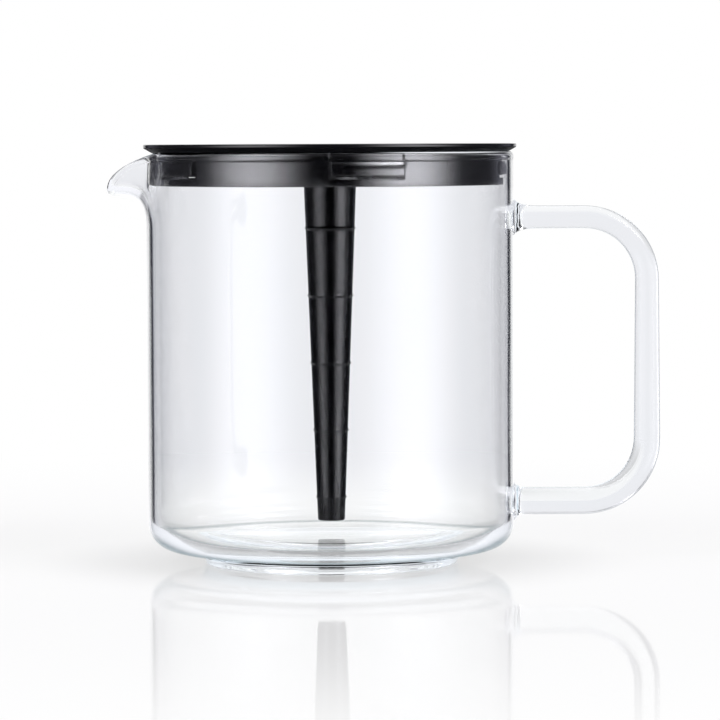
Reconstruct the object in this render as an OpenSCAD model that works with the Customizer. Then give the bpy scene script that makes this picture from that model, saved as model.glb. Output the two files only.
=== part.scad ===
// Glass coffee jug with a fused rod handle, a plug lid that is brewed through, and a mixing stem.
// Origin on the jug's axis at table height. +Z is up, the handle is at +X and the spout at -X.

/* [Jug] */
// Outer diameter of the glass body
jug_diameter = 120; // [100:1:144]
// Height of the glass rim above the table
jug_height = 134.4; // [112:0.2:162]
// Thickness of the glass wall
wall = 1.9; // [1.6:0.1:2.4]
// Thickness of the glass floor at the heel
floor_thickness = 3.3; // [2.7:0.1:4]
// Radius of the heel, where the wall turns into the base
heel_radius = 8.5; // [7:0.5:10.5]
// Height of the base above the table, held up by the foot ring
heel_height = 4.7; // [3.9:0.1:5.7]
// Distance from the wall in to the top of the foot ring
foot_inset = 17.4; // [14:0.2:21]
// How far the foot ring draws in towards the table
foot_taper = 1.2; // [0.8:0.1:1.5]
// Width of the ring that stands on the table
foot_width = 5; // [4:0.5:6]
// Depth of the hollow inside the foot ring
foot_hollow = 3.2; // [2.6:0.1:3.9]

/* [Spout] */
// How far the spout's tip stands out from the wall
spout_reach = 13.1; // [10.9:0.1:15.8]
// How far below the rim the spout starts to leave the wall
spout_depth = 23; // [19:0.5:27.5]
// Height of the rim above the spout's tip
spout_tip_drop = 11.8; // [10:0.1:14]
// How far the spout's belly hangs below its tip
spout_belly = 3.7; // [3:0.1:4.5]
// Half of the angle of wall that is drawn out into the spout
spout_half_angle = 18; // [15:0.5:21.5]
// Radius of the lip's curve, seen from the side
lip_radius = 18.5; // [15.5:0.5:22]
// How far inside the wall the lip meets the rim
lip_start = 1; // [0.8:0.1:1.2]

/* [Handle] */
// Diameter of the glass rod
rod_diameter = 8.5; // [7:0.1:10.2]
// Distance from the wall to the middle of the grip
handle_reach = 43.85; // [36.5:0.05:52.6]
// Distance from the rim down to the middle of the upper arm
upper_arm_drop = 21.7; // [18:0.1:26]
// Height of the middle of the lower arm above the table
lower_arm_height = 19.6; // [16.5:0.1:23.5]
// Radius of the rod's two bends, at the middle of the rod
bend_radius = 20.6; // [17:0.1:25]
// Length of the fused collar between the wall and the rod
weld_length = 3; // [2.5:0.1:3.6]
// How far the fused collar flares out past the rod
weld_flare = 1.8; // [1.5:0.1:2.2]

/* [Lid] */
// How far the lid's edge stands out past the wall
cover_overhang = 1; // [0.8:0.1:1.2]
// Height of the lid's top above the rim
cover_rise = 2.6; // [2.4:0.1:3.2]
// Thickness of the lid's plate
cover_thickness = 2; // [1.7:0.1:2.4]
// Slope of the seat under the lid's edge, in degrees
seat_angle = 29.4; // [24.5:0.1:35]
// Gap between the seat and the rim
seat_gap = 0.2; // [0.15:0.05:0.3]
// Width of the flat border round the lid's top
border_width = 4.2; // [3.5:0.1:5]
// Step from the border down to the dish
dish_step = 0.6; // [0.5:0.1:0.8]
// Slope of the dish towards the inlet, in degrees
dish_angle = 4; // [3.2:0.1:4.8]
// Bevel on the lid's edge
edge_bevel = 0.35; // [0.3:0.05:0.45]
// Diameter of the hole that the coffee runs in through
inlet_diameter = 12; // [10:0.5:14.5]
// Wall of the nozzle under the inlet
nozzle_wall = 1; // [0.8:0.1:1.2]
// Length of the nozzle under the plate
nozzle_length = 4; // [3.3:0.1:4.8]

/* [Skirt and grip tabs] */
// Gap between the skirt and the glass
skirt_gap = 1.3; // [1.1:0.1:1.6]
// Height of the skirt
skirt_height = 9.9; // [8.5:0.1:12]
// Wall of the skirt
skirt_wall = 1.8; // [1.5:0.1:2.2]
// Height of the rib inside the skirt that centres it on the lid
rib_height = 2; // [1.6:0.1:2.4]
// Wall of that rib
rib_wall = 1.4; // [1.2:0.1:1.7]
// Gap between the rib and the skirt
rib_gap = 0.05; // [0.05:0.01:0.1]
// Number of grip tabs in the skirt
tab_count = 5; // [3:1:6]
// Direction of the first grip tab, in degrees from +X
tab_start = -77.6; // [-180:0.1:180]
// Width of a grip tab, round the skirt
tab_width = 22.8; // [19:0.1:27.4]
// Length of a grip tab, from its root to its tip
tab_length = 6.1; // [5.1:0.1:7.3]
// Thickness of a grip tab
tab_thickness = 1.2; // [1:0.1:1.4]
// How far a tab's face lies behind the skirt's face
tab_recess = 0.3; // [0.2:0.05:0.4]
// Width of the slits beside a grip tab
slit = 0.65; // [0.5:0.05:0.8]
// Width of the slit under a grip tab's tip
tip_slit = 1.2; // [1:0.1:1.5]
// Gap between a tab's root and the lid
root_gap = 0.3; // [0.25:0.05:0.35]
// Distance from the skirt's top down to the nose of a tab
nose_drop = 4.4; // [3.8:0.1:4.8]
// Height of the nose at its foot
nose_height = 2.4; // [2:0.1:2.9]
// Gap between the nose and the glass
nose_gap = 0.3; // [0.25:0.05:0.4]

/* [Mixing stem] */
// Outer diameter of the stem's lower end
stem_tip_diameter = 8.9; // [7.8:0.1:10.7]
// Outer diameter of the stem where it leaves the lid
stem_neck_diameter = 17.2; // [14.4:0.1:20.6]
// Wall of the stem's lower end
stem_tip_wall = 1.2; // [1:0.1:1.4]
// Wall of the stem's head
stem_head_wall = 1.8; // [1.5:0.1:2.2]
// Gap between the stem's lower end and the glass floor
stem_floor_gap = 5.75; // [4.8:0.05:6.9]
// Distance between the measuring rings
ring_pitch = 22.05; // [18.4:0.05:26.5]
// Distance from the stem's lower end to the first ring
ring_start = 7.6; // [6.3:0.1:9.1]
// Number of measuring rings, where the stem is long enough
ring_count = 5; // [3:1:5]
// Radius of a measuring ring's bead
ring_radius = 0.5; // [0.4:0.05:0.6]
// How far a measuring ring stands out
ring_proud = 0.3; // [0.2:0.05:0.35]

/* [Twist lock] */
// How far a lug stands out from the stem's head
lug_reach = 2.1; // [1.7:0.1:2.5]
// Height of a lug
lug_height = 2.5; // [2:0.1:3]
// Angle that a lug covers
lug_angle = 36; // [30:1:42]
// Thickness of the ledge that carries the lugs
ledge_thickness = 2; // [1.6:0.1:2.4]
// Room above the lugs
head_room = 1.5; // [1.2:0.1:1.8]
// Gap between the stem's head and the lid
turn_gap = 0.3; // [0.25:0.05:0.4]
// Turn from locked to free
lock_turn = 90; // [75:1:100]
// Free angle on each side of a lug in the gate that it leaves through
gate_play = 2; // [1.5:0.5:2.5]
// Free angle between a lug and its stop
stop_play = 3; // [3:0.5:4]
// Angle that a stop covers
stop_angle = 7; // [5:0.5:9]
// Wall of the boss under the lid
boss_wall = 2.2; // [1.8:0.1:2.6]

/* [Hidden] */
$fn = 192;
glass = [0.86, 0.90, 0.93, 0.35];
gloss_black = [0.035, 0.035, 0.04];
satin_black = [0.06, 0.06, 0.065];
overlap = 0.05;
margin = 1;
shoulder = 1;

outer_r = jug_diameter / 2;
inner_r = outer_r - wall;
rim_r = wall / 2;
floor_z = heel_height + floor_thickness;
inner_heel_r = heel_radius - wall;
foot_top_r = outer_r - foot_inset;
foot_r = foot_top_r - foot_taper;

rod_r = rod_diameter / 2;
grip_x = outer_r + handle_reach;
upper_arm_z = jug_height - upper_arm_drop;
weld_end = outer_r + weld_length;
weld_r = rod_r + weld_flare;
bend_x = grip_x - bend_radius;

lid_r = outer_r + cover_overhang;
cover_top = jug_height + cover_rise;
skirt_r = inner_r - skirt_gap;
skirt_inner_r = skirt_r - skirt_wall;
skirt_top = seat_z(skirt_r);
skirt_bottom = skirt_top - skirt_height;
rib_r = skirt_inner_r - rib_gap;
dish_r = lid_r - border_width - dish_step;

tab_angle = tab_width / skirt_r * 180 / PI;
slit_angle = slit / skirt_r * 180 / PI;
tab_top = skirt_top - root_gap;
tab_bottom = tab_top - tab_length;
tab_face_r = skirt_r - tab_recess;
tab_back_r = tab_face_r - tab_thickness;
nose_r = inner_r - nose_gap;
nose_z = skirt_top - nose_drop;

inlet_r = inlet_diameter / 2;
nozzle_r = inlet_r + nozzle_wall;
head_bore_r = nozzle_r + turn_gap;
head_r = head_bore_r + stem_head_wall;
lug_r = head_r + lug_reach;
cavity_r = lug_r + turn_gap;
ledge_r = head_r + turn_gap;
boss_r = cavity_r + boss_wall;
roof_z = dish_z(inlet_r) - cover_thickness;
lug_top = roof_z - head_room;
lug_bottom = lug_top - lug_height;
boss_bottom = lug_bottom - ledge_thickness;
head_top = roof_z - turn_gap;

stem_bottom = floor_z + stem_floor_gap;
stem_tip_r = stem_tip_diameter / 2;
stem_tip_bore_r = stem_tip_r - stem_tip_wall;
stem_neck_r = stem_neck_diameter / 2;
neck_z = boss_bottom - shoulder;
neck_bore_r = min(head_bore_r, stem_neck_r - stem_tip_wall);
rings = min(ring_count, 1 + floor((neck_z - stem_bottom - ring_start - ring_radius) / ring_pitch));

// Height of the lid's sloping seat at a radius, clear of the round rim by the seat gap
function seat_z(r) =
    jug_height - rim_r
    + (rim_r + seat_gap + sin(seat_angle) * (r - outer_r + rim_r)) / cos(seat_angle);

// Height of the dish in the lid's top at a radius
function dish_z(r) = cover_top - dish_step - (dish_r - r) * tan(dish_angle);

// Outer radius of the stem at a height
function stem_r(z) =
    stem_tip_r + (stem_neck_r - stem_tip_r) * (z - stem_bottom) / (neck_z - stem_bottom);

function bezier(p, t) =
    pow(1 - t, 3) * p[0] + 3 * t * pow(1 - t, 2) * p[1] + 3 * t * t * (1 - t) * p[2] + pow(t, 3) * p[3];

// Line of the spout as [distance out from the wall, height above the rim]: first its belly, from the
// wall to the tip, and then its front, from the tip up past the lip. The shares are of the reach and drop.
belly_in_share = 0.05;
belly_out_share = 0.42;
front_share = 1.1;
front_turn = 0.18;
front_rise = 0.6;
spout_root = [0, -spout_depth];
spout_tip = [spout_reach, -spout_tip_drop];
belly_z = -spout_tip_drop - spout_belly;
belly_in = [belly_in_share * spout_reach, belly_z];
belly_out = [belly_out_share * spout_reach, belly_z];
front_a = front_share * spout_reach;
front_low = spout_tip + front_turn * (spout_tip - belly_out);
front_high = [front_a, -front_rise * spout_tip_drop];
front_top = [front_a, -rim_r];
belly_steps = 12;
front_steps = 6;
spout_line = concat(
    [for (i = [0 : belly_steps]) bezier([spout_root, belly_in, belly_out, spout_tip], i / belly_steps)],
    [for (i = [1 : front_steps]) bezier([spout_tip, front_low, front_high, front_top], i / front_steps)]
);
spout_columns = 24;

// Centre of the lip's curve, from its two ends and its radius
lip_top = [-outer_r + lip_start, jug_height];
lip_tip = [-outer_r - spout_reach, jug_height - spout_tip_drop];
lip_chord = lip_top - lip_tip;
lip_half = norm(lip_chord) / 2;
lip_centre = (lip_top + lip_tip) / 2
    + sqrt(lip_radius * lip_radius - lip_half * lip_half) * [lip_chord[1], -lip_chord[0]] / norm(lip_chord);

module ring_section(inner, outer, low, high) {
    translate([inner, low]) square([outer - inner, high - low]);
}

module sector(inner, outer, low, high, start, angle) {
    rotate([0, 0, start]) rotate_extrude(angle = angle) ring_section(inner, outer, low, high);
}

module jug_outside() {
    ring_section(0, outer_r, heel_height + heel_radius, jug_height - rim_r);
    ring_section(0, outer_r - heel_radius, heel_height, heel_height + heel_radius);
    translate([outer_r - heel_radius, heel_height + heel_radius]) circle(heel_radius);
    translate([outer_r - rim_r, jug_height - rim_r]) circle(rim_r);
    polygon([[0, 0], [foot_r, 0], [foot_top_r, heel_height + overlap], [0, heel_height + overlap]]);
}

module jug_inside() {
    ring_section(0, inner_r, floor_z + inner_heel_r, jug_height + margin);
    ring_section(0, inner_r - inner_heel_r, floor_z, floor_z + inner_heel_r);
    translate([inner_r - inner_heel_r, floor_z + inner_heel_r]) circle(inner_heel_r);
    ring_section(0, foot_r - foot_width, -margin, foot_hollow);
}

// The wall drawn out round -X: a skin over the spout's line, closed back to a core inside the jug
module spout_form(base_r, lift) {
    core_r = inner_r - spout_reach / 2;
    rows = len(spout_line);
    columns = spout_columns + 1;
    size = rows * columns;
    function turn(j) = spout_half_angle * (2 * j / spout_columns - 1);
    function swell(a) = pow(cos(90 * a / spout_half_angle), 2);
    function place(r, a, z) = [-r * cos(a), -r * sin(a), z];
    skin = [for (p = spout_line, j = [0 : spout_columns])
        place(base_r - overlap + p[0] * swell(turn(j)), turn(j), jug_height + lift + p[1])];
    core = [for (p = spout_line, j = [0 : spout_columns])
        place(core_r, turn(j), jug_height + lift + p[1])];
    sheets = [for (i = [0 : rows - 2], j = [0 : columns - 2], side = [0, 1])
        let (a = i * columns + j + side * size, b = a + 1, c = a + columns, d = c + 1)
        each side == 0 ? [[a, c, d], [a, d, b]] : [[a, d, c], [a, b, d]]];
    ends = [for (j = [0 : columns - 2], end = [0, rows - 1])
        let (a = end * columns + j, b = a + 1, c = a + size, d = c + 1)
        each end == 0 ? [[a, b, d], [a, d, c]] : [[a, d, b], [a, c, d]]];
    cheeks = [for (i = [0 : rows - 2], edge = [0, columns - 1])
        let (a = i * columns + edge, b = a + columns, c = a + size, d = c + columns)
        each edge == 0 ? [[a, d, b], [a, c, d]] : [[a, b, d], [a, d, c]]];
    polyhedron(points = concat(skin, core), faces = concat(sheets, ends, cheeks));
}

module lip_cut() {
    translate([lip_centre[0], 0, lip_centre[1]]) rotate([90, 0, 0])
        cylinder(r = lip_radius, h = jug_diameter, center = true);
}

module jug_body() {
    color(glass) difference() {
        union() {
            rotate_extrude() jug_outside();
            intersection() {
                spout_form(outer_r, 0);
                lip_cut();
            }
        }
        rotate_extrude() jug_inside();
        spout_form(inner_r, wall);
    }
}

module bend() {
    translate([bend_x, 0, 0]) rotate([90, 0, 0]) rotate_extrude(angle = 90)
        translate([bend_radius, 0]) circle(rod_r);
}

module arm(z) {
    translate([weld_end, 0, z]) rotate([0, 90, 0]) cylinder(r = rod_r, h = bend_x - weld_end);
}

module handle() {
    upper_bend_z = upper_arm_z - bend_radius;
    lower_bend_z = lower_arm_height + bend_radius;
    color(glass) {
        arm(upper_arm_z);
        arm(lower_arm_height);
        translate([0, 0, upper_bend_z]) bend();
        translate([0, 0, lower_bend_z]) mirror([0, 0, 1]) bend();
        translate([grip_x, 0, lower_bend_z]) cylinder(r = rod_r, h = upper_bend_z - lower_bend_z);
    }
}

// Fused glass collar about an arm: a concave flare from the wall down to the rod
module weld(z) {
    fillet_r = weld_length;
    color(glass) difference() {
        translate([0, 0, z]) rotate([0, 90, 0]) rotate_extrude() difference() {
            ring_section(0, weld_r, outer_r - weld_length, weld_end);
            translate([rod_r + fillet_r, weld_end]) circle(fillet_r);
        }
        cylinder(r = outer_r, h = jug_height);
    }
}

module upper_handle_weld() {
    weld(upper_arm_z);
}

module lower_handle_weld() {
    weld(lower_arm_height);
}

module cover_section() {
    under_r = rib_r - rib_wall;
    polygon([
        [inlet_r, dish_z(inlet_r)],
        [dish_r, dish_z(dish_r)],
        [dish_r + dish_step, cover_top],
        [lid_r - edge_bevel, cover_top],
        [lid_r, cover_top - edge_bevel],
        [lid_r, seat_z(lid_r)],
        [skirt_r, skirt_top],
        [under_r, skirt_top],
        [under_r, dish_z(under_r) - cover_thickness],
        [boss_r, dish_z(boss_r) - cover_thickness],
        [boss_r, roof_z],
        [inlet_r, roof_z]
    ]);
    ring_section(under_r, rib_r, skirt_top - rib_height, skirt_top + overlap);
    ring_section(inlet_r, nozzle_r, roof_z - nozzle_length, roof_z + overlap);
    ring_section(cavity_r, boss_r, boss_bottom, roof_z + overlap);
    ring_section(ledge_r, boss_r, boss_bottom, lug_bottom);
}

module lid_cover() {
    gate_angle = lug_angle + 2 * gate_play;
    gate_r = lug_r + turn_gap / 2;
    stop_r = ledge_r + turn_gap;
    near_stop = -lug_angle / 2 - stop_play - stop_angle;
    far_stop = lock_turn + lug_angle / 2 + stop_play;
    color(gloss_black) {
        difference() {
            rotate_extrude() cover_section();
            for (side = [0, 180])
                sector(ledge_r - margin, gate_r, boss_bottom - margin, lug_bottom + margin,
                    side + lock_turn - gate_angle / 2, gate_angle);
        }
        for (side = [0, 180], stop = [near_stop, far_stop])
            sector(stop_r, cavity_r + overlap, lug_bottom - overlap, lug_top, side + stop, stop_angle);
    }
}

module lid_skirt() {
    color(satin_black) difference() {
        rotate_extrude() ring_section(skirt_inner_r, skirt_r, skirt_bottom, skirt_top);
        for (i = [1 : tab_count])
            sector(skirt_inner_r - margin, skirt_r + margin, tab_bottom - tip_slit, skirt_top + margin,
                tab_direction(i) - tab_angle / 2 - slit_angle, tab_angle + 2 * slit_angle);
    }
}

function tab_direction(i) = tab_start + (i - 1) * 360 / tab_count;

module grip_tab(i) {
    color(satin_black) rotate([0, 0, tab_direction(i) - tab_angle / 2]) rotate_extrude(angle = tab_angle)
        polygon([
            [tab_back_r, tab_bottom],
            [tab_face_r, tab_bottom],
            [tab_face_r, nose_z - nose_height / 2],
            [nose_r, nose_z],
            [tab_face_r, nose_z + nose_height / 2],
            [tab_face_r, tab_top],
            [tab_back_r, tab_top]
        ]);
}

module stem_section() {
    polygon([
        [stem_tip_bore_r, stem_bottom],
        [stem_tip_r, stem_bottom],
        [stem_neck_r, neck_z],
        [head_r, boss_bottom],
        [head_r, head_top],
        [head_bore_r, head_top],
        [head_bore_r, boss_bottom],
        [neck_bore_r, neck_z]
    ]);
    for (i = [0 : rings - 1]) {
        z = stem_bottom + ring_start + i * ring_pitch;
        translate([stem_r(z) + ring_proud - ring_radius, z]) circle(ring_radius);
    }
}

module mixing_stem() {
    color(satin_black) {
        rotate_extrude() stem_section();
        for (side = [0, 180])
            sector(head_r - overlap, lug_r, lug_bottom, lug_top, side - lug_angle / 2, lug_angle);
    }
}

jug_body();
handle();
upper_handle_weld();
lower_handle_weld();
lid_cover();
lid_skirt();
mixing_stem();
for (i = [1 : tab_count]) grip_tab(i);
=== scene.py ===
import bpy
import math
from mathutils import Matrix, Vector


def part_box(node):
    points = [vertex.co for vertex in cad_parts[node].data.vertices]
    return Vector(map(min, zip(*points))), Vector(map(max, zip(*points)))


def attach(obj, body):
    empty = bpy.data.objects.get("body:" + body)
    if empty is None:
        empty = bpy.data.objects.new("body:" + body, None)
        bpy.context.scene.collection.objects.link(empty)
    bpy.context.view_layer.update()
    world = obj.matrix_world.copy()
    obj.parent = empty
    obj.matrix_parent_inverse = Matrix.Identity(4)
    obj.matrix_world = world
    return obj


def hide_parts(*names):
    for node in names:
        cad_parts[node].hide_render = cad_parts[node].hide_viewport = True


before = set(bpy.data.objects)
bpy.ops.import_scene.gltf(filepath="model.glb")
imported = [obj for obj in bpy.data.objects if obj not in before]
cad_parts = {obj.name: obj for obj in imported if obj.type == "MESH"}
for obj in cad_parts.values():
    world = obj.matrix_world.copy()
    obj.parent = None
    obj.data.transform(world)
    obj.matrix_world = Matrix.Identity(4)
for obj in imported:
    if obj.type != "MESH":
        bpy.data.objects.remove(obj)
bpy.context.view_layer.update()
scene = bpy.context.scene
scene.view_settings.view_transform = "Standard"
mm = 0.001
mergeGap = 0.002 * mm  # corners closer than this become one
cutPast = 1.0  # mm that a cutter stands past the piece it cuts
pureWhite = (1, 1, 1, 1)
print("frame loaded:", len(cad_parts), "nodes")


# drawing an outline and spinning it

def startPoint(name, radius, height):
    bpy.ops.object.select_all(action="DESELECT")
    bpy.ops.mesh.primitive_circle_add(vertices=3, radius=mm, location=(0, 0, 0))
    piece = bpy.context.object
    piece.name = name
    piece.data.name = name
    bpy.ops.object.mode_set(mode="EDIT")
    bpy.ops.mesh.select_all(action="SELECT")
    bpy.ops.mesh.merge(type="CENTER")
    bpy.ops.transform.translate(value=(radius * mm, 0, height * mm))
    return piece


def drawOutline(name, points):  # (radius, height) in mm, drawn in the XZ plane, left in edit mode
    piece = startPoint(name, *points[0])
    for (r0, z0), (r1, z1) in zip(points, points[1:]):
        step = ((r1 - r0) * mm, 0, (z1 - z0) * mm)
        bpy.ops.mesh.extrude_vertices_move(TRANSFORM_OT_translate={"value": step})
    bpy.ops.mesh.select_all(action="SELECT")
    bpy.ops.mesh.remove_doubles(threshold=mergeGap)
    return piece


def roundCorners(radius, segments):
    bpy.ops.mesh.select_all(action="SELECT")
    bpy.ops.mesh.bevel(offset=radius * mm, segments=segments, affect="VERTICES")


def spinRound(steps):
    bpy.ops.mesh.select_all(action="SELECT")
    bpy.ops.mesh.spin(steps=steps, angle=math.tau, center=(0, 0, 0), axis=(0, 0, 1))
    closeUp()


def spinSector(steps, startDegrees, sweepDegrees):
    bpy.ops.mesh.select_all(action="SELECT")
    turn = -math.radians(startDegrees)  # with no window the turn runs the other way
    bpy.ops.transform.rotate(value=turn, orient_axis="Z", center_override=(0, 0, 0))
    sweep = -math.radians(sweepDegrees)
    bpy.ops.mesh.spin(steps=steps, angle=sweep, center=(0, 0, 0), axis=(0, 0, 1))
    capEnds()
    closeUp()


def capEnds():
    bpy.ops.mesh.select_mode(type="EDGE")
    bpy.ops.mesh.select_all(action="DESELECT")
    bpy.ops.mesh.select_non_manifold(extend=False, use_wire=False, use_multi_face=False,
                                     use_non_contiguous=False, use_verts=False)
    bpy.ops.mesh.edge_face_add()
    bpy.ops.mesh.select_mode(type="VERT")


def closeUp():
    bpy.ops.mesh.select_all(action="SELECT")
    bpy.ops.mesh.remove_doubles(threshold=mergeGap)
    bpy.ops.mesh.normals_make_consistent(inside=False)


def leaveEdit():
    bpy.ops.object.mode_set(mode="OBJECT")


def makeActive(piece):
    bpy.ops.object.select_all(action="DESELECT")
    piece.select_set(True)
    bpy.context.view_layer.objects.active = piece


def joinByBoolean(piece, other, operation):
    makeActive(piece)
    bpy.ops.object.modifier_add(type="BOOLEAN")
    cut = piece.modifiers[-1]
    cut.operation = operation
    cut.solver = "EXACT"
    cut.object = other
    bpy.ops.object.modifier_apply(modifier=cut.name)
    bpy.data.objects.remove(other)


def softenEdges(piece, width, angle, segments):
    makeActive(piece)
    bpy.ops.object.modifier_add(type="BEVEL")
    soft = piece.modifiers[-1]
    soft.width = width * mm
    soft.segments = segments
    soft.limit_method = "ANGLE"
    soft.angle_limit = math.radians(angle)
    bpy.ops.object.modifier_apply(modifier=soft.name)


def shadeSmooth(piece, angle):
    makeActive(piece)
    bpy.ops.object.shade_smooth_by_angle(angle=math.radians(angle))


def arcPoints(centreR, centreZ, radius, startDegrees, endDegrees, count):
    points = []
    for i in range(count + 1):
        a = math.radians(startDegrees + (endDegrees - startDegrees) * i / count)
        points.append((centreR + radius * math.cos(a), centreZ + radius * math.sin(a)))
    return points


def evenRows(start, end, step):  # heights strictly between start and end
    count = max(1, round((end - start) / step))
    return [start + (end - start) * i / count for i in range(1, count)]


def ringOutline(inner, outer, low, high):
    return [(inner, low), (outer, low), (outer, high), (inner, high), (inner, low)]


def sectorBlock(name, inner, outer, low, high, startDegrees, sweepDegrees, steps):
    block = drawOutline(name, ringOutline(inner, outer, low, high))
    spinSector(steps, startDegrees, sweepDegrees)
    leaveEdit()
    return block


def boxMm(node):
    low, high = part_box(node)
    return [v / mm for v in low], [v / mm for v in high]


# camera, fitted to the lid, skirt, heel and foot circles of the photograph

cameraView = {"place": (9.61, -1231.7, 137.8), "pitch": 3.326, "roll": -0.246, "lens": 188.07, "sensor": 36,
              "clipStart": 0.05}
bpy.ops.object.select_all(action="DESELECT")
bpy.ops.object.camera_add(location=[v * mm for v in cameraView["place"]])
camera = bpy.context.object
camera.name = "photoCamera"
camera.data.lens = cameraView["lens"]
camera.data.sensor_width = cameraView["sensor"]
camera.data.clip_start = cameraView["clipStart"]
rotation = camera.matrix_world.Rotation
tilt = rotation(math.radians(90 - cameraView["pitch"]), 4, "X")
roll = rotation(math.radians(cameraView["roll"]), 4, "Z")
camera.matrix_world = camera.matrix_world @ tilt @ roll
scene.camera = camera
print("camera set")


# glass jug: body, pulled spout and rod handle are one piece of glass

_, jugHigh = boxMm("jug_body")
handleLow, handleHigh = boxMm("handle")
jugSpec = {
    "radius": jugHigh[1], "rimTop": jugHigh[2], "wall": 1.9, "heelRadius": 8.5, "innerHeelRadius": 6.6,
    "heelUnderside": 4.7, "floorTop": 8.0, "footTop": 42.6, "footBottom": 41.4, "footWidth": 5.0,
    "footHollow": 3.2, "beadTall": 1.75, "beadThick": 1.08, "footRound": 0.7, "heelFillet": 1.4,
    "floorRows": [0, 14, 28, 40], "hollowRows": [24, 12, 0],  # radii of the rows of faces
    "wallRows": [31, 42, 58, 74, 90, 102], "heelRowStep": 1.6, "rimRowStep": 1.25, "beadGap": 0.2,  # heights
    "steps": 240, "innerHeelSteps": 12, "heelSteps": 16, "beadSteps": 26, "footSteps": 5, "smoothTo": 60,
}
spoutSpec = {
    "root": 23.0, "halfAngle": 21.0, "outPower": 2.2, "dropPower": 0.92,
    "inside": 0.5,  # glass this far inside the wall is still pulled along
    "path": [(0, -23.0), (0.5, -11.5), (5.0, -16.4), (13.1, -13.2)],  # (outwards, from the rim) at its middle
}
handleSpec = {
    # the middle lines of the two arms and the grip, from the box of the handle
    "upper": handleHigh[2] - 4.0, "lower": handleLow[2] + 4.35, "grip": handleHigh[0] - 4.31,
    "rod": 4.25, "bend": 20.6, "flare": 2.0, "flareFade": 1.1, "sides": 40, "bendSteps": 18, "gripSteps": 6,
    "rootRows": [59.1, 59.6, 60.0, 60.4, 60.8, 61.2, 61.7, 62.4, 63.4, 65.0, 68.0],
    "ripple": 0.14, "rippleRows": (60.1, 61.9), "rippleSeeds": (11, 31),
    "taper": (0.87, 1.05), "taperFrom": (61.5, 66.0),
}


def jugOutline(spec):
    radius, wall = spec["radius"], spec["wall"]
    inner = radius - wall
    # fire-polished rim: a soft bead a little thicker than the wall
    tall, thick = spec["beadTall"], spec["beadThick"]
    beadStart = math.degrees(math.acos(wall / 2 / thick))
    beadZ = spec["rimTop"] - tall
    beadFoot = beadZ - tall * math.sin(math.radians(beadStart))
    outerHeelZ = spec["heelUnderside"] + spec["heelRadius"]
    innerHeelZ = spec["floorTop"] + spec["innerHeelRadius"]
    heelR = radius - spec["heelRadius"]
    wallTop = beadFoot - spec["beadGap"]
    rows = evenRows(innerHeelZ, spec["wallRows"][0], spec["heelRowStep"]) + spec["wallRows"]
    rows += evenRows(spec["wallRows"][-1], wallTop, spec["rimRowStep"]) + [wallTop]
    points = [(r, spec["floorTop"]) for r in spec["floorRows"]]
    points += arcPoints(inner - spec["innerHeelRadius"], innerHeelZ, spec["innerHeelRadius"], -90, 0,
                        spec["innerHeelSteps"])
    points += [(inner, z) for z in rows]
    points += [(radius - wall / 2 + thick * r, beadZ + tall * z) for r, z in
               arcPoints(0, 0, 1, 180 + beadStart, -beadStart, spec["beadSteps"])]
    points += [(radius, z) for z in reversed(rows)]
    points += arcPoints(heelR, outerHeelZ, spec["heelRadius"], 0, -90, spec["heelSteps"])
    fillet, soft, steps = spec["heelFillet"], spec["footRound"], spec["footSteps"]
    points += arcPoints(spec["footTop"] + fillet, spec["heelUnderside"] - fillet, fillet, 90, 180, steps)
    footInner = spec["footBottom"] - spec["footWidth"]
    points += arcPoints(spec["footBottom"] - soft, soft, soft, 0, -90, steps)
    points += arcPoints(footInner + soft, soft, soft, -90, -180, steps)
    points += arcPoints(footInner - fillet, spec["footHollow"] - fillet, fillet, 0, 90, steps)
    points += [(r, spec["footHollow"]) for r in spec["hollowRows"]]
    return points


def pathPoint(path, t):  # on the curve that four points steer
    weights = [(1 - t) ** 3, 3 * (1 - t) ** 2 * t, 3 * (1 - t) * t ** 2, t ** 3]
    return [sum(w * p[i] for w, p in zip(weights, path)) for i in (0, 1)]


def pathNormal(path, t):  # to the inside of the glass
    weights = [3 * (1 - t) ** 2, 6 * (1 - t) * t, 3 * t ** 2]
    legs = [(b[0] - a[0], b[1] - a[1]) for a, b in zip(path, path[1:])]
    along = [sum(w * leg[i] for w, leg in zip(weights, legs)) for i in (0, 1)]
    length = math.hypot(*along)
    return -along[1] / length, along[0] / length


def pullSpout(piece, spec, jug):
    half = math.radians(spec["halfAngle"])
    for vertex in piece.data.vertices:
        x, y, z = [c / mm for c in vertex.co]
        radius = math.hypot(x, y)
        side = math.atan2(y, -x)
        up = (z - jug["rimTop"] + spec["root"]) / spec["root"]
        if abs(side) >= half or up <= 0 or radius < jug["radius"] - jug["wall"] - spec["inside"]:
            continue
        swell = math.cos(0.5 * math.pi * side / half) ** 2
        outShare = 1 - (1 - swell) ** spec["outPower"]  # the lip swells out faster than it drops
        dropShare = 1 - (1 - swell) ** spec["dropPower"]
        depth = jug["radius"] - radius
        out, drop = pathPoint(spec["path"], up)
        normal = pathNormal(spec["path"], up)
        newOut = outShare * (out + depth * normal[0]) - (1 - outShare) * depth
        newUp = dropShare * (drop + depth * normal[1]) + (1 - dropShare) * (z - jug["rimTop"])
        radius = jug["radius"] + newOut
        z = jug["rimTop"] + newUp
        vertex.co = (-radius * math.cos(side) * mm, radius * math.sin(side) * mm, z * mm)


def extrudeRing(step, scale, centre):
    bpy.ops.mesh.extrude_region_move(TRANSFORM_OT_translate={"value": [v * mm for v in step]})
    bpy.ops.transform.resize(value=scale, center_override=[v * mm for v in centre])


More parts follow.
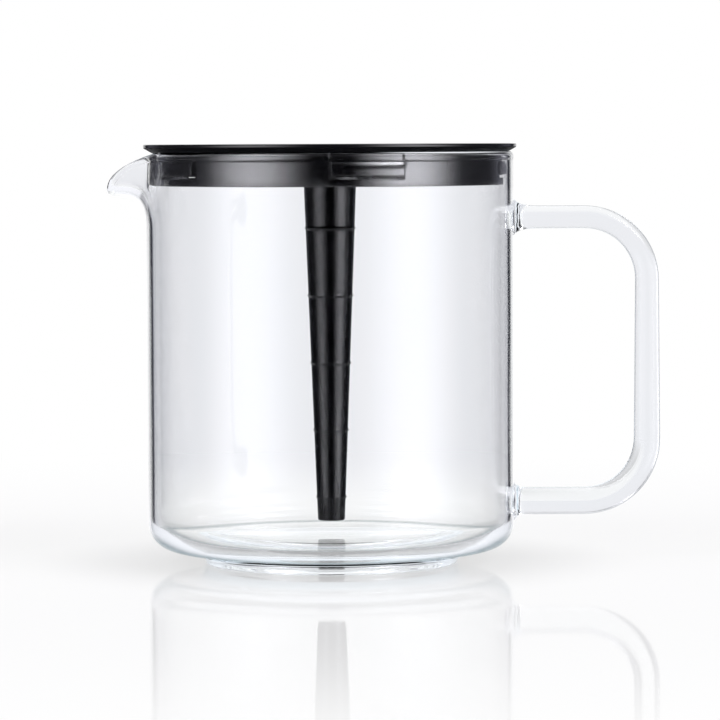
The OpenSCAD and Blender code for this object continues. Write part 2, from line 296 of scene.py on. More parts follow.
def makeHandle(spec, wallRadius):
    def rootRadius(x):
        return spec["rod"] + spec["flare"] * math.exp(-(x - wallRadius) / spec["flareFade"])

    def ripple(x, seed):  # fused glass is never quite even
        near, far = spec["rippleRows"]
        if near < x < far:
            bpy.ops.transform.vertex_random(offset=spec["ripple"] * mm, seed=seed)

    rows = spec["rootRows"]
    upperSeed, lowerSeed = spec["rippleSeeds"]
    bpy.ops.object.select_all(action="DESELECT")
    bpy.ops.mesh.primitive_circle_add(vertices=spec["sides"], radius=rootRadius(rows[0]) * mm,
                                      location=(rows[0] * mm, 0, spec["upper"] * mm),
                                      rotation=(0, math.radians(90), 0))
    rod = bpy.context.object
    rod.name = "rodHandle"
    bpy.ops.object.transform_apply(location=True, rotation=True, scale=True)
    bpy.ops.object.mode_set(mode="EDIT")
    bpy.ops.mesh.select_all(action="SELECT")
    for i, (a, b) in enumerate(zip(rows, rows[1:])):
        k = rootRadius(b) / rootRadius(a)
        extrudeRing((b - a, 0, 0), (1, k, k), (b, 0, spec["upper"]))
        ripple(b, upperSeed + i)
    bendX = spec["grip"] - spec["bend"]
    k = spec["rod"] / rootRadius(rows[-1])
    extrudeRing((bendX - rows[-1], 0, 0), (1, k, k), (bendX, 0, spec["upper"]))
    turn = -math.radians(90)
    bpy.ops.mesh.spin(steps=spec["bendSteps"], angle=turn, axis=(0, 1, 0),
                      center=(bendX * mm, 0, (spec["upper"] - spec["bend"]) * mm))
    fall = spec["lower"] - spec["upper"] + 2 * spec["bend"]
    gripStep = (0, 0, fall / spec["gripSteps"] * mm)
    for _ in range(spec["gripSteps"]):
        bpy.ops.mesh.extrude_region_move(TRANSFORM_OT_translate={"value": gripStep})
    bpy.ops.mesh.spin(steps=spec["bendSteps"], angle=turn, axis=(0, 1, 0),
                      center=(bendX * mm, 0, (spec["lower"] + spec["bend"]) * mm))
    back = [bendX] + rows[::-1]
    for i, (a, b) in enumerate(zip(back, back[1:])):
        k = rootRadius(b) / (rootRadius(a) if i else spec["rod"])
        extrudeRing((b - a, 0, 0), (1, k, k), (b, 0, spec["lower"]))
        ripple(b, lowerSeed + i)
    capEnds()
    closeUp()
    leaveEdit()
    return rod


def taperRod(rod, spec):  # the rod is drawn glass, thinner in its upper arm than in the lower one
    bendX = spec["grip"] - spec["bend"]
    middle = 0.5 * (spec["upper"] + spec["lower"])
    for vertex in rod.data.vertices:
        x, y, z = [c / mm for c in vertex.co]
        arm, bendZ = spec["upper"], spec["upper"] - spec["bend"]
        if z < middle:
            arm, bendZ = spec["lower"], spec["lower"] + spec["bend"]
        share = (spec["upper"] - z) / (spec["upper"] - spec["lower"])
        near, far = spec["taperFrom"]
        k = spec["taper"][0] + (spec["taper"][1] - spec["taper"][0]) * share
        k = 1 + (k - 1) * min(1, max(0, (x - near) / (far - near)))
        centre = (spec["grip"], z)
        if x <= bendX:
            centre = (x, arm)
        elif (z - bendZ) * (arm - bendZ) > 0:
            pull = spec["bend"] / math.hypot(x - bendX, z - bendZ)
            centre = (bendX + (x - bendX) * pull, bendZ + (z - bendZ) * pull)
        x = centre[0] + (x - centre[0]) * k
        z = centre[1] + (z - centre[1]) * k
        vertex.co = (x * mm, y * k * mm, z * mm)


jugGlass = drawOutline("jugGlass", jugOutline(jugSpec))
spinRound(jugSpec["steps"])
leaveEdit()
pullSpout(jugGlass, spoutSpec, jugSpec)
rodHandle = makeHandle(handleSpec, jugSpec["radius"])
taperRod(rodHandle, handleSpec)
joinByBoolean(jugGlass, rodHandle, "UNION")
shadeSmooth(jugGlass, jugSpec["smoothTo"])
print("glass jug:", len(jugGlass.data.polygons), "faces")


# lid: cover with its funnel, inlet nozzle and twist-lock boss

_, coverHigh = boxMm("lid_cover")
coverSpec = {
    "radius": coverHigh[1], "top": coverHigh[2], "borderInner": 56.8, "step": 0.6, "dishSlope": 4.0,
    "inlet": 6.0, "plate": 2.0, "seatOuter": 135.87, "seatInner": 133.5, "ribOuter": 54.95,
    "ribInner": 53.55, "ribLow": 131.5, "bossOuter": 13.7, "bossInner": 11.5, "bossLow": 124.89,
    "ledgeInner": 9.4, "ledgeTop": 126.89, "nozzleOuter": 7.0, "roof": 130.89,
    "edge": 0.3, "edgeSteps": 3, "steps": 192, "smoothTo": 32, "mattSlope": 0.3,
}
lockSpec = {"gateAt": [90, 270], "gateHalf": 20.0, "gateReach": 11.35, "gateSteps": 12,
            "stopAt": [-28.0, 111.0, 152.0, 291.0], "stopWidth": 7.0, "stopInner": 9.7, "stopSink": 0.3,
            "stopLow": 126.84, "stopHigh": 129.39, "stopSteps": 4}


def coverOutline(spec):
    dishTop = spec["top"] - spec["step"]
    slope = math.tan(math.radians(spec["dishSlope"]))

    def dish(r):
        return dishTop - (spec["borderInner"] - spec["step"] - r) * slope

    return [
        (spec["inlet"], dish(spec["inlet"])), (spec["borderInner"] - spec["step"], dishTop),
        (spec["borderInner"], spec["top"]), (spec["radius"], spec["top"]),
        (spec["radius"], spec["seatOuter"]), (spec["borderInner"], spec["seatInner"]),
        (spec["ribOuter"], spec["seatInner"]),
        (spec["ribOuter"], spec["ribLow"]), (spec["ribInner"], spec["ribLow"]),
        (spec["ribInner"], dish(spec["ribInner"]) - spec["plate"]),
        (spec["bossOuter"], dish(spec["bossOuter"]) - spec["plate"]), (spec["bossOuter"], spec["bossLow"]),
        (spec["ledgeInner"], spec["bossLow"]), (spec["ledgeInner"], spec["ledgeTop"]),
        (spec["bossInner"], spec["ledgeTop"]), (spec["bossInner"], spec["roof"]),
        (spec["nozzleOuter"], spec["roof"]), (spec["nozzleOuter"], spec["ledgeTop"]),
        (spec["inlet"], spec["ledgeTop"]), (spec["inlet"], dish(spec["inlet"])),
    ]


lidCover = drawOutline("lidCover", coverOutline(coverSpec))
roundCorners(coverSpec["edge"], coverSpec["edgeSteps"])
spinRound(coverSpec["steps"])
leaveEdit()
for middle in lockSpec["gateAt"]:  # the gates that the stem's lugs pass
    gate = sectorBlock("gate", coverSpec["ledgeInner"] - cutPast, lockSpec["gateReach"],
                       coverSpec["bossLow"] - cutPast, coverSpec["ledgeTop"] + cutPast,
                       middle - lockSpec["gateHalf"], 2 * lockSpec["gateHalf"], lockSpec["gateSteps"])
    joinByBoolean(lidCover, gate, "DIFFERENCE")
for start in lockSpec["stopAt"]:  # the stops that end the lugs' turn
    stop = sectorBlock("stop", lockSpec["stopInner"], coverSpec["bossInner"] + lockSpec["stopSink"],
                       lockSpec["stopLow"], lockSpec["stopHigh"], start, lockSpec["stopWidth"],
                       lockSpec["stopSteps"])
    joinByBoolean(lidCover, stop, "UNION")
shadeSmooth(lidCover, coverSpec["smoothTo"])
print("lid cover:", len(lidCover.data.polygons), "faces")


# skirt: the ring that plugs the mouth, with a window for each tab

skirtLow, skirtHigh = boxMm("lid_skirt")
skirtSpec = {"outer": skirtHigh[0], "inner": 55.0, "low": skirtLow[2], "high": skirtHigh[2], "edge": 0.25,
             "edgeSteps": 3, "windowHalf": 12.156, "windowLow": 125.9, "windowSteps": 16, "windowEdge": 0.34,
             "softFrom": 60, "softSteps": 4, "steps": 225, "smoothTo": 32}
tabSpec = {"count": 5, "first": -77.6, "half": 11.5, "inner": 55.3, "outer": 56.5, "low": 126.7,
           "high": 133.2, "noseReach": 57.8, "noseFoot": 126.8, "noseLow": 127.1, "noseHigh": 130.0,
           "noseTop": 131.35, "noseBack": 57.3, "shoulder": 0.15, "edge": 0.16, "softFrom": 30,
           "softSteps": 3, "steps": 24, "smoothTo": 32}

lidSkirt = drawOutline("lidSkirt", ringOutline(skirtSpec["inner"], skirtSpec["outer"], skirtSpec["low"],
                                               skirtSpec["high"]))
roundCorners(skirtSpec["edge"], skirtSpec["edgeSteps"])
spinRound(skirtSpec["steps"])
leaveEdit()
for i in range(tabSpec["count"]):
    middle = tabSpec["first"] + 360 / tabSpec["count"] * i
    window = sectorBlock("window", skirtSpec["inner"] - cutPast, skirtSpec["outer"] + cutPast,
                         skirtSpec["windowLow"], skirtSpec["high"] + cutPast,
                         middle - skirtSpec["windowHalf"], 2 * skirtSpec["windowHalf"],
                         skirtSpec["windowSteps"])
    joinByBoolean(lidSkirt, window, "DIFFERENCE")
softenEdges(lidSkirt, skirtSpec["windowEdge"], skirtSpec["softFrom"], skirtSpec["softSteps"])
shadeSmooth(lidSkirt, skirtSpec["smoothTo"])
print("lid skirt:", len(lidSkirt.data.polygons), "faces")


# grip tabs: one is modelled, the others are turned copies

def tabOutline(spec):
    foot = [(spec["inner"], spec["low"]), (spec["outer"], spec["low"]), (spec["outer"], spec["noseFoot"])]
    nose = [(spec["noseReach"], spec["noseLow"]), (spec["noseReach"], spec["noseHigh"]),
            (spec["noseBack"], spec["noseTop"])]  # the slope above the nose catches the upper band of light
    root = [(spec["outer"], spec["noseTop"] + spec["shoulder"]), (spec["outer"], spec["high"]),
            (spec["inner"], spec["high"])]
    return foot + nose + root + foot[:1]


firstTab = drawOutline("gripTab1", tabOutline(tabSpec))
spinSector(tabSpec["steps"], tabSpec["first"] - tabSpec["half"], 2 * tabSpec["half"])
leaveEdit()
softenEdges(firstTab, tabSpec["edge"], tabSpec["softFrom"], tabSpec["softSteps"])
shadeSmooth(firstTab, tabSpec["smoothTo"])
gripTabs = [firstTab]
for i in range(1, tabSpec["count"]):
    makeActive(firstTab)
    bpy.ops.object.duplicate()
    nextTab = bpy.context.object
    nextTab.name = f"gripTab{i + 1}"
    nextTab.data.name = nextTab.name
    nextTab.rotation_euler.z = math.tau / tabSpec["count"] * i
    bpy.ops.object.transform_apply(location=True, rotation=True, scale=True)
    gripTabs.append(nextTab)
print("grip tabs:", len(gripTabs))


# mixing stem: tapered tube with fine rings and two locking lugs

stemLow, stemHigh = boxMm("mixing_stem")
stemSpec = {"tip": 4.45, "tipBore": 3.25, "low": stemLow[2], "neck": 8.6, "neckBore": 7.3, "neckHigh": 123.89,
            "head": 9.1, "headLow": 124.89, "high": stemHigh[2],
            "firstRing": 21.35, "ringStep": 22.05, "rings": 5,
            "ringProud": 0.36, "ringFlat": 0.1, "ringLip": 0.2, "ringShoulder": 0.2, "ringOver": 0.7,
            "ringUnder": 0.7, "lugAt": [0, 180], "lugReach": 11.2, "lugSink": 0.6, "lugHalf": 18.0,
            "lugLow": 126.89, "lugHigh": 129.39, "lugSteps": 10, "edge": 0.25, "steps": 96, "smoothTo": 20}


def stemOutline(spec):
    low, high, edge = spec["low"], spec["high"], spec["edge"]
    proud, lip, over, under = spec["ringProud"], spec["ringLip"], spec["ringOver"], spec["ringUnder"]

    def side(z):
        return spec["tip"] + (spec["neck"] - spec["tip"]) * (z - low) / (spec["neckHigh"] - low)

    points = [(spec["tipBore"], low), (spec["tip"] - edge, low), (side(low + edge), low + edge)]
    for i in range(spec["rings"]):
        z = spec["firstRing"] + spec["ringStep"] * i
        points += [(side(z - under), z - under), (side(z) + proud, z),
                   (side(z) + proud, z + spec["ringFlat"]), (side(z) + lip, z + spec["ringShoulder"]),
                   (side(z + over), z + over)]
    points += [(spec["neck"], spec["neckHigh"]), (spec["head"], spec["headLow"]), (spec["head"], high - edge),
               (spec["head"] - edge, high), (spec["neckBore"], high), (spec["neckBore"], spec["neckHigh"]),
               (spec["tipBore"], low)]
    return points


mixingStem = drawOutline("mixingStem", stemOutline(stemSpec))
spinRound(stemSpec["steps"])
leaveEdit()
for middle in stemSpec["lugAt"]:
    lug = sectorBlock("lug", stemSpec["head"] - stemSpec["lugSink"], stemSpec["lugReach"], stemSpec["lugLow"],
                      stemSpec["lugHigh"], middle - stemSpec["lugHalf"], 2 * stemSpec["lugHalf"],
                      stemSpec["lugSteps"])
    joinByBoolean(mixingStem, lug, "UNION")
shadeSmooth(mixingStem, stemSpec["smoothTo"])
print("mixing stem:", len(mixingStem.data.polygons), "faces")


# finishes

noiseRange = (0.3, 0.7)  # where most values of a noise lie


def newFinish(name):
    finish = bpy.data.materials.new(name)
    finish.use_nodes = True
    tree = finish.node_tree
    return finish, tree, tree.nodes["Principled BSDF"], tree.nodes["Material Output"]


def addNode(tree, kind, values=None, **settings):
    node = tree.nodes.new(kind)
    for name, value in settings.items():
        setattr(node, name, value)
    for name, value in (values or {}).items():
        node.inputs[name].default_value = value
    return node


def mathNode(tree, operation, a, b=None):
    node = addNode(tree, "ShaderNodeMath", operation=operation)
    for socket, value in zip(node.inputs, (a, b)):
        if value is None:
            continue
        if isinstance(value, (int, float)):
            socket.default_value = value
        else:
            tree.links.new(value, socket)
    return node.outputs[0]


def smoothStep(tree, value, low, high):
    step = addNode(tree, "ShaderNodeMapRange", {"From Min": low, "From Max": high},
                   interpolation_type="SMOOTHSTEP")
    tree.links.new(value, step.inputs["Value"])
    return step.outputs["Result"]


def objectNoise(tree, stretch, scale, detail):  # noise on the piece's own coordinates
    place = addNode(tree, "ShaderNodeTexCoord")
    mapping = addNode(tree, "ShaderNodeMapping", {"Scale": stretch})
    noise = addNode(tree, "ShaderNodeTexNoise", {"Scale": scale, "Detail": detail})
    tree.links.new(place.outputs["Object"], mapping.inputs["Vector"])
    tree.links.new(mapping.outputs["Vector"], noise.inputs["Vector"])
    return noise.outputs["Fac"]


def rampColour(tree, value, low, high):  # a colour from a noise
    ramp = addNode(tree, "ShaderNodeValToRGB")
    for stop, position, colour in zip(ramp.color_ramp.elements, noiseRange, (low, high)):
        stop.position = position
        stop.color = (*colour, 1)
    tree.links.new(value, ramp.inputs["Fac"])
    return ramp.outputs["Color"]


def spread(tree, value, low, high):  # a value from a noise
    ranged = addNode(tree, "ShaderNodeMapRange", {"From Min": noiseRange[0], "From Max": noiseRange[1],
                                                  "To Min": low, "To Max": high})
    tree.links.new(value, ranged.inputs["Value"])
    return ranged.outputs["Result"]


def mixColour(tree, factor, first, second):
    mixed = addNode(tree, "ShaderNodeMix", data_type="RGBA")
    tree.links.new(factor, mixed.inputs["Factor"])
    tree.links.new(first, mixed.inputs["A"])
    mixed.inputs["B"].default_value = second
    return mixed.outputs["Result"]


def addBump(tree, shader, height, lift):
    bump = addNode(tree, "ShaderNodeBump", {"Strength": 1.0, "Distance": lift})
    tree.links.new(height, bump.inputs["Height"])
    tree.links.new(bump.outputs["Normal"], shader.inputs["Normal"])


glassSpec = {"ior": 1.473, "tintLow": (0.985, 0.992, 0.995), "tintHigh": (1.0, 1.0, 1.0), "waveLift": 0.00004,
             "waveScale": 60.0, "waveStretch": (1, 1, 0.25), "waveDetail": 1.0,
             "depthColour": (0.80, 0.92, 0.96, 1), "depthDensity": 12.0,
             "lastBounce": 3.5, "lastGlow": 0.52, "lastColour": (0.97, 0.96, 1.0, 1),
             "heelGlow": (0.030, 0.014), "armGlow": (0.0592, 0.0602), "wallGlow": (0.124, 0.120),
             "wallFrom": (0.020, 0.035),
             # the painted edge shade: a darker teal line at slanted heel and handle edges
             "mirror": (0.22, 0.22, 0.22, 1), "edgeFrom": (0.55, 0.80), "paintedEdgeShade": (0.10, 0.16, 0.18, 1),
             "heelEdge": (0.0125, 0.0080), "heelOut": (0.0500, 0.0540), "armEdge": (0.0625, 0.0640),
             "armEdgeShare": 0.5}
blackPlastic = {"low": (0.003, 0.003, 0.004), "high": (0.006, 0.006, 0.007), "ior": 1.49, "cloud": 55.0,
                "cloudDetail": 4.0, "grainDetail": 2.0, "lift": 4e-6}  # where a finish has no value of its own
plasticSpecs = {
    "lidGloss": {"rough": (0.09, 0.16), "grain": 900.0, "stretch": (1, 1, 1), "shine": 0.38},
    "lidMatt": {"rough": (0.46, 0.52), "grain": 1300.0, "stretch": (1, 1, 1), "shine": 0.03, "lift": 5e-6},
    "lidSatin": {"rough": (0.10, 0.16), "grain": 1100.0, "stretch": (1, 1, 0.6), "shine": 1.0},
    "stemSatin": {"rough": (0.09, 0.14), "grain": 1400.0, "stretch": (1, 1, 0.35), "shine": 0.28},
}


def clearGlass(spec):
    finish, tree, shader, output = newFinish("clearGlass")
    shader.inputs["IOR"].default_value = spec["ior"]
    shader.inputs["Transmission Weight"].default_value = 1.0
    shader.inputs["Roughness"].default_value = 0.0
    # drawn glass, a little wavy round the wall
    wave = objectNoise(tree, spec["waveStretch"], spec["waveScale"], spec["waveDetail"])
    addBump(tree, shader, wave, spec["waveLift"])
    shader.inputs["Specular Tint"].default_value = spec["mirror"]
    place = addNode(tree, "ShaderNodeTexCoord")
    split = addNode(tree, "ShaderNodeSeparateXYZ")
    tree.links.new(place.outputs["Object"], split.inputs[0])
    along, _, height = split.outputs
    # painted edge shade: glass edges of heel and handle, seen at a slant, get a thin darker teal line painted
    # into the base colour
    weight = addNode(tree, "ShaderNodeLayerWeight", {"Blend": 0.5})
    slant = smoothStep(tree, weight.outputs["Facing"], *spec["edgeFrom"])
    rod = mathNode(tree, "MULTIPLY", smoothStep(tree, along, *spec["armEdge"]), spec["armEdgeShare"])
    out = addNode(tree, "ShaderNodeVectorMath", {1: (1, 1, 0)}, operation="MULTIPLY")
    tree.links.new(place.outputs["Object"], out.inputs[0])
    radius = addNode(tree, "ShaderNodeVectorMath", operation="LENGTH")
    tree.links.new(out.outputs["Vector"], radius.inputs[0])
    heel = mathNode(tree, "MULTIPLY", smoothStep(tree, height, *spec["heelEdge"]),
                    smoothStep(tree, radius.outputs["Value"], *spec["heelOut"]))
    edge = mathNode(tree, "MULTIPLY", slant, mathNode(tree, "MAXIMUM", heel, rod))
    tint = rampColour(tree, wave, spec["tintLow"], spec["tintHigh"])
    # the painted edge shade darkens the glass colour
    tree.links.new(mixColour(tree, edge, tint, spec["paintedEdgeShade"]), shader.inputs["Base Color"])
    # light that runs round inside heel, spout, handle and the wall by it, and is cut off at the bounce limit,
    # comes back as a pale glow
    low = smoothStep(tree, height, *spec["heelGlow"])
    arms = smoothStep(tree, mathNode(tree, "ABSOLUTE", along), *spec["armGlow"])
    wall = mathNode(tree, "MULTIPLY", smoothStep(tree, height, *spec["wallGlow"]),
                    smoothStep(tree, along, *spec["wallFrom"]))
    path = addNode(tree, "ShaderNodeLightPath")
    cut = mathNode(tree, "GREATER_THAN", path.outputs["Glossy Depth"], spec["lastBounce"])
    places = mathNode(tree, "MAXIMUM", low, mathNode(tree, "MAXIMUM", arms, wall))
    there = mathNode(tree, "MULTIPLY", cut, places)
    glow = mathNode(tree, "MULTIPLY", there, spec["lastGlow"])
    tree.links.new(glow, shader.inputs["Emission Strength"])
    shader.inputs["Emission Color"].default_value = spec["lastColour"]
    finish.cycles.emission_sampling = "NONE"
    depth = addNode(tree, "ShaderNodeVolumeAbsorption",
                    {"Color": spec["depthColour"], "Density": spec["depthDensity"]})
    tree.links.new(depth.outputs["Volume"], output.inputs["Volume"])
    return finish


def mouldedPlastic(name, spec):
    finish, tree, shader, _ = newFinish(name)
    shader.inputs["IOR"].default_value = spec["ior"]
    shader.inputs["Specular IOR Level"].default_value = spec["shine"]
    cloud = objectNoise(tree, spec["stretch"], spec["cloud"], spec["cloudDetail"])
    grain = objectNoise(tree, spec["stretch"], spec["grain"], spec["grainDetail"])
    tree.links.new(rampColour(tree, cloud, spec["low"], spec["high"]), shader.inputs["Base Color"])
    tree.links.new(spread(tree, cloud, *spec["rough"]), shader.inputs["Roughness"])
    addBump(tree, shader, grain, spec["lift"])
    return finish


finishes = {name: mouldedPlastic(name, {**blackPlastic, **spec}) for name, spec in plasticSpecs.items()}
finishes["clearGlass"] = clearGlass(glassSpec)


def dress(piece, finish):
    piece.data.materials.clear()
    piece.data.materials.append(finishes[finish])


dress(jugGlass, "clearGlass")
dress(lidCover, "lidGloss")
lidCover.data.materials.append(finishes["lidMatt"])
# the top and the seat under it are moulded matt, the edge between them is polished
for face in lidCover.data.polygons:
    r = math.hypot(face.center.x, face.center.y) / mm
    top = face.normal.z > coverSpec["mattSlope"] and r < coverSpec["radius"] - coverSpec["edge"]
    seat = face.normal.z < -coverSpec["mattSlope"] and r > coverSpec["ribInner"]
    if top or seat:
        face.material_index = 1
dress(lidSkirt, "lidSatin")
dress(mixingStem, "stemSatin")
for tab in gripTabs:
    dress(tab, "lidSatin")
print("finishes on")


# what each piece stands for and moves with

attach(jugGlass, "jug")
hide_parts("jug_body", "handle", "upper_handle_weld", "lower_handle_weld")
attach(lidCover, "lid")
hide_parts("lid_cover")
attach(lidSkirt, "lid")
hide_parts("lid_skirt")
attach(mixingStem, "stem")
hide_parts("mixing_stem")
for i, tab in enumerate(gripTabs):
    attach(tab, f"tab_{i + 1}")
    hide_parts(f"grip_tab_{i + 1}")
print("pieces ride on their bodies")


# floor and studio world

floorSpec = {"radius": 0.48, "drop": 0.0001, "sides": 128, "fade": (0.16, 0.44), "glassFade": (0.06, 0.12),
             "albedo": 0.12, "rough": 0.6, "lift": 0.600, "glow": 0.46, "gloss": 0.26, "glossRough": 0.04,
             # contact and contactShare: the reach and depth of the painted contact shadow
             "deep": 3.5, "contact": (0.040, 0.105), "contactShare": 0.76}
worldSpec = {
    # what reflections meet: (degrees round from the middle of the backdrop, colour);
    # the backdrop is white, with dark uprights at its sides
    "round": [(0, (1, 1, 1)), (15.4, (1, 1, 1)), (16.2, (0.25, 0.25, 0.28)), (17.2, (0.25, 0.25, 0.28)),
              (18.0, (1, 1, 1)), (20.5, (1, 1, 1)), (21.5, (0.01, 0.012, 0.02)), (28.5, (0.01, 0.012, 0.02)),
              (32, (0.24, 0.24, 0.29)), (44, (0.20, 0.20, 0.24)), (53, (0.05, 0.05, 0.06)),
              (68, (0.06, 0.06, 0.07)), (80, (0.10, 0.10, 0.115)), (92, (0.20, 0.20, 0.225)),
              (125, (0.03, 0.03, 0.035)), (155, (0.008, 0.008, 0.010)), (180, (0.004, 0.004, 0.005))],
    "paintedGlassShade": (0.875, 0.875, 0.905, 1),  # painted shade of the glass: the backdrop seen straight through glass is darker and lavender
    "leftAt": 130.0, "rightAt": 126.5, "softboxHalf": 41.0, "leftGlow": 4.1, "rightGlow": 5.9,
    "softboxLow": (-0.45, -0.25), "softboxHigh": (0.10, 0.22),  # where they begin and end, by height
    "upperLow": (0.40, 0.52), "upperHigh": (0.74, 0.84), "upperGlow": 2.0,  # a second band above each softbox
    "topFrom": (0.55, 0.95), "topGlow": 0.35,
    "lampColour": (1.0, 0.985, 1.045),
    "below": (-0.40, -0.14), "belowColour": (0.75, 0.75, 0.79, 1),  # the pale table under everything
}


def seenDirect(tree):  # 1 for what the camera sees, straight or through glass
    path = addNode(tree, "ShaderNodeLightPath")
    bounced = mathNode(tree, "ADD", path.outputs["Glossy Depth"], path.outputs["Diffuse Depth"])
    straight = mathNode(tree, "LESS_THAN", bounced, 0.5)
    through = mathNode(tree, "MULTIPLY", path.outputs["Is Transmission Ray"], straight)
    return mathNode(tree, "MAXIMUM", path.outputs["Is Camera Ray"], through)


def paleFloor(spec):
    finish, tree, shader, output = newFinish("paleFloor")
    place = addNode(tree, "ShaderNodeTexCoord")
    length = addNode(tree, "ShaderNodeVectorMath", operation="LENGTH")
    tree.links.new(place.outputs["Object"], length.inputs[0])
    seen = seenDirect(tree)
    far = smoothStep(tree, length.outputs["Value"], *spec["fade"])
    path = addNode(tree, "ShaderNodeLightPath")
    deep = mathNode(tree, "GREATER_THAN", path.outputs["Transmission Depth"], spec["deep"])
    near = mathNode(tree, "MAXIMUM", smoothStep(tree, length.outputs["Value"], *spec["glassFade"]), deep)
    fade = addNode(tree, "ShaderNodeMix")
    tree.links.new(seen, fade.inputs["Factor"])
    tree.links.new(near, fade.inputs["A"])
    tree.links.new(far, fade.inputs["B"])
    shader.inputs["Base Color"].default_value = (spec["albedo"],) * 3 + (1,)
    shader.inputs["Specular IOR Level"].default_value = 0.0
    shader.inputs["Roughness"].default_value = spec["rough"]
    gloss = addNode(tree, "ShaderNodeBsdfGlossy", {"Color": pureWhite, "Roughness": spec["glossRough"]})
    sheen = addNode(tree, "ShaderNodeMixShader", {"Fac": spec["gloss"]})
    tree.links.new(shader.outputs["BSDF"], sheen.inputs[1])
    tree.links.new(gloss.outputs["BSDF"], sheen.inputs[2])
    lift = addNode(tree, "ShaderNodeEmission", {"Color": pureWhite})
    strength = addNode(tree, "ShaderNodeMapRange", {"To Min": spec["glow"], "To Max": spec["lift"]})
    tree.links.new(seen, strength.inputs["Value"])
    # a soft contact shadow painted round the foot: the floor's glow is dimmed near the middle
    contact = addNode(tree, "ShaderNodeMapRange", {"To Min": spec["contactShare"], "To Max": 1.0})
    tree.links.new(smoothStep(tree, length.outputs["Value"], *spec["contact"]), contact.inputs["Value"])
    tree.links.new(mathNode(tree, "MULTIPLY", strength.outputs["Result"], contact.outputs["Result"]),
                   lift.inputs["Strength"])
    lit = addNode(tree, "ShaderNodeAddShader")
    tree.links.new(sheen.outputs[0], lit.inputs[0])
    tree.links.new(lift.outputs[0], lit.inputs[1])
    # the edge fades to the white backdrop, and to nothing in reflections
    # rays that are not camera rays see the floor's edge in the painted glass shade
    pale = addNode(tree, "ShaderNodeMix", {"A": spec["paintedGlassShade"], "B": pureWhite}, data_type="RGBA")
    white = addNode(tree, "ShaderNodeEmission", {"Strength": 1.0})
    tree.links.new(path.outputs["Is Camera Ray"], pale.inputs["Factor"])
    tree.links.new(pale.outputs["Result"], white.inputs["Color"])
    clear = addNode(tree, "ShaderNodeBsdfTransparent")
    edge = addNode(tree, "ShaderNodeMixShader")
    tree.links.new(seen, edge.inputs["Fac"])
    tree.links.new(clear.outputs[0], edge.inputs[1])
    tree.links.new(white.outputs[0], edge.inputs[2])
    faded = addNode(tree, "ShaderNodeMixShader")
    tree.links.new(fade.outputs["Result"], faded.inputs["Fac"])
    tree.links.new(lit.outputs[0], faded.inputs[1])
    tree.links.new(edge.outputs[0], faded.inputs[2])
    tree.links.new(faded.outputs[0], output.inputs["Surface"])
    return finish


bpy.ops.object.select_all(action="DESELECT")
bpy.ops.mesh.primitive_circle_add(vertices=floorSpec["sides"], radius=floorSpec["radius"], fill_type="NGON",
                                  location=(0, 0, -floorSpec["drop"]))
floor = bpy.context.object
floor.name = "paleFloor"
floor.data.materials.append(paleFloor({**floorSpec, "paintedGlassShade": worldSpec["paintedGlassShade"]}))


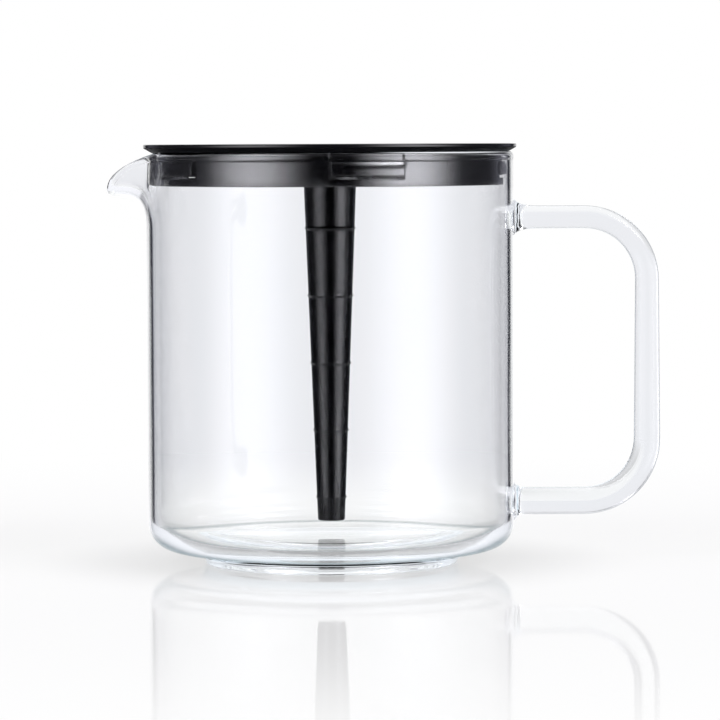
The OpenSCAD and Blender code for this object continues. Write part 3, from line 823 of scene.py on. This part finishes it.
def studioWorld(spec):
    world = bpy.data.worlds.new("studio")
    world.use_nodes = True
    scene.world = world
    tree = world.node_tree
    back = tree.nodes["Background"]
    place = addNode(tree, "ShaderNodeTexCoord")
    split = addNode(tree, "ShaderNodeSeparateXYZ")
    tree.links.new(place.outputs["Generated"], split.inputs[0])
    across, along, height = split.outputs
    turn = mathNode(tree, "ABSOLUTE", mathNode(tree, "ARCTAN2", across, along))
    share = mathNode(tree, "DIVIDE", turn, math.pi)
    ramp = addNode(tree, "ShaderNodeValToRGB")
    stops = ramp.color_ramp.elements
    for i, (degrees, colour) in enumerate(spec["round"]):
        stop = stops[i] if i < 2 else stops.new(degrees / 180)
        stop.position = degrees / 180
        stop.color = (*colour, 1)
    tree.links.new(share, ramp.inputs["Fac"])
    # two softboxes in front, left and right, soft at their edges, and one overhead
    side = mathNode(tree, "GREATER_THAN", across, 0.0)
    middle = addNode(tree, "ShaderNodeMapRange", {"To Min": math.radians(spec["leftAt"]),
                                                  "To Max": math.radians(spec["rightAt"])})
    tree.links.new(side, middle.inputs["Value"])
    off = mathNode(tree, "DIVIDE", mathNode(tree, "SUBTRACT", turn, middle.outputs["Result"]),
                   math.radians(spec["softboxHalf"]))
    near = mathNode(tree, "MINIMUM", mathNode(tree, "ABSOLUTE", off), 1.0)
    wave = mathNode(tree, "COSINE", mathNode(tree, "MULTIPLY", near, math.pi / 2))
    glow = mathNode(tree, "POWER", wave, 2.0)
    strength = addNode(tree, "ShaderNodeMapRange", {"To Min": spec["leftGlow"], "To Max": spec["rightGlow"]})
    tree.links.new(side, strength.inputs["Value"])
    lamp = mathNode(tree, "MULTIPLY", glow, strength.outputs["Result"])
    rise = smoothStep(tree, height, *spec["softboxLow"])
    end = mathNode(tree, "SUBTRACT", 1.0, smoothStep(tree, height, *spec["softboxHigh"]))
    box = mathNode(tree, "MULTIPLY", lamp, mathNode(tree, "MULTIPLY", rise, end))
    top = mathNode(tree, "MULTIPLY", smoothStep(tree, height, *spec["topFrom"]), spec["topGlow"])
    upper = mathNode(tree, "SUBTRACT", smoothStep(tree, height, *spec["upperLow"]),
                     smoothStep(tree, height, *spec["upperHigh"]))
    crown = mathNode(tree, "MULTIPLY", lamp, mathNode(tree, "MULTIPLY", upper, spec["upperGlow"]))
    level = mathNode(tree, "ADD", mathNode(tree, "ADD", box, top), crown)
    lamps = addNode(tree, "ShaderNodeVectorMath", {0: spec["lampColour"]}, operation="SCALE")
    tree.links.new(level, lamps.inputs["Scale"])
    total = addNode(tree, "ShaderNodeVectorMath", operation="ADD")
    tree.links.new(ramp.outputs["Color"], total.inputs[0])
    tree.links.new(lamps.outputs["Vector"], total.inputs[1])
    path = addNode(tree, "ShaderNodeLightPath")
    below = mathNode(tree, "SUBTRACT", 1.0, smoothStep(tree, height, *spec["below"]))
    inGlass = mathNode(tree, "GREATER_THAN", path.outputs["Transmission Depth"], 0.5)
    under = mathNode(tree, "MULTIPLY", below, inGlass)
    around = mixColour(tree, under, total.outputs["Vector"], spec["belowColour"])
    # painted shade of the glass: rays seen straight through glass meet a darker lavender backdrop
    through = mixColour(tree, seenDirect(tree), around, spec["paintedGlassShade"])
    seen = mixColour(tree, path.outputs["Is Camera Ray"], through, pureWhite)
    tree.links.new(seen, back.inputs["Color"])


studioWorld(worldSpec)
print("stage and light set")
